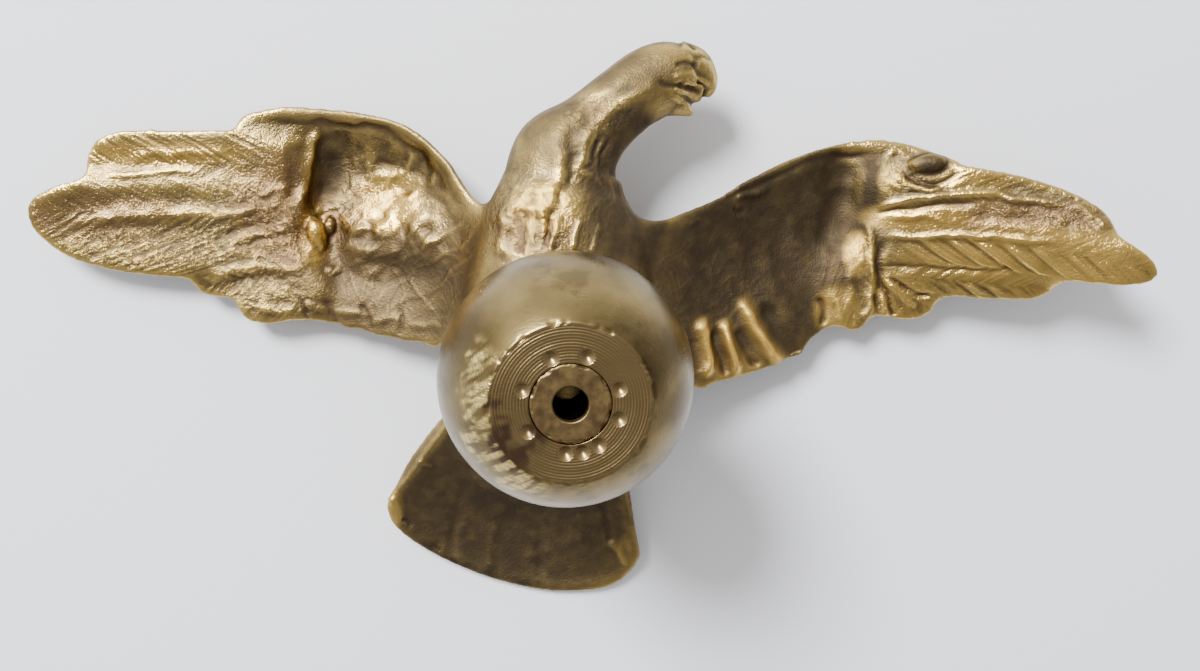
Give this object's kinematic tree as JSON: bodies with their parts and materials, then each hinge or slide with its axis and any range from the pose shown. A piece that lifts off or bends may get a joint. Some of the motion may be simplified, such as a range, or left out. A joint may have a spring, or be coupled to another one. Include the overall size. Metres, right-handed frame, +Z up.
{
  "type": "eagle finial",
  "caption": "Cast brass eagle with spread wings and open beak, its feet on a turned ball with a flat, threaded seat, lying on its back.",
  "frame": {"origin": "middle of the footprint's box, on the table that the finial lies on", "axes": "+X from the wing tip on the picture's left to the one on its right, +Y from tail to head, +Z up, out of the seat turned on the ball"},
  "size_m": [0.346, 0.1818, 0.1135],
  "materials": {
    "cast_brass": "sand cast, worn bright on the high places and browned in the hollows",
    "turned_brass": "turned and polished, with filed marks beside the seat",
    "bushing_brass": "machined, tarnished brown"
  },
  "bodies": {
    "root": {"eagle": "cast_brass", "ball": "turned_brass", "threaded_bushing": "bushing_brass"}
  },
  "joints": []
}
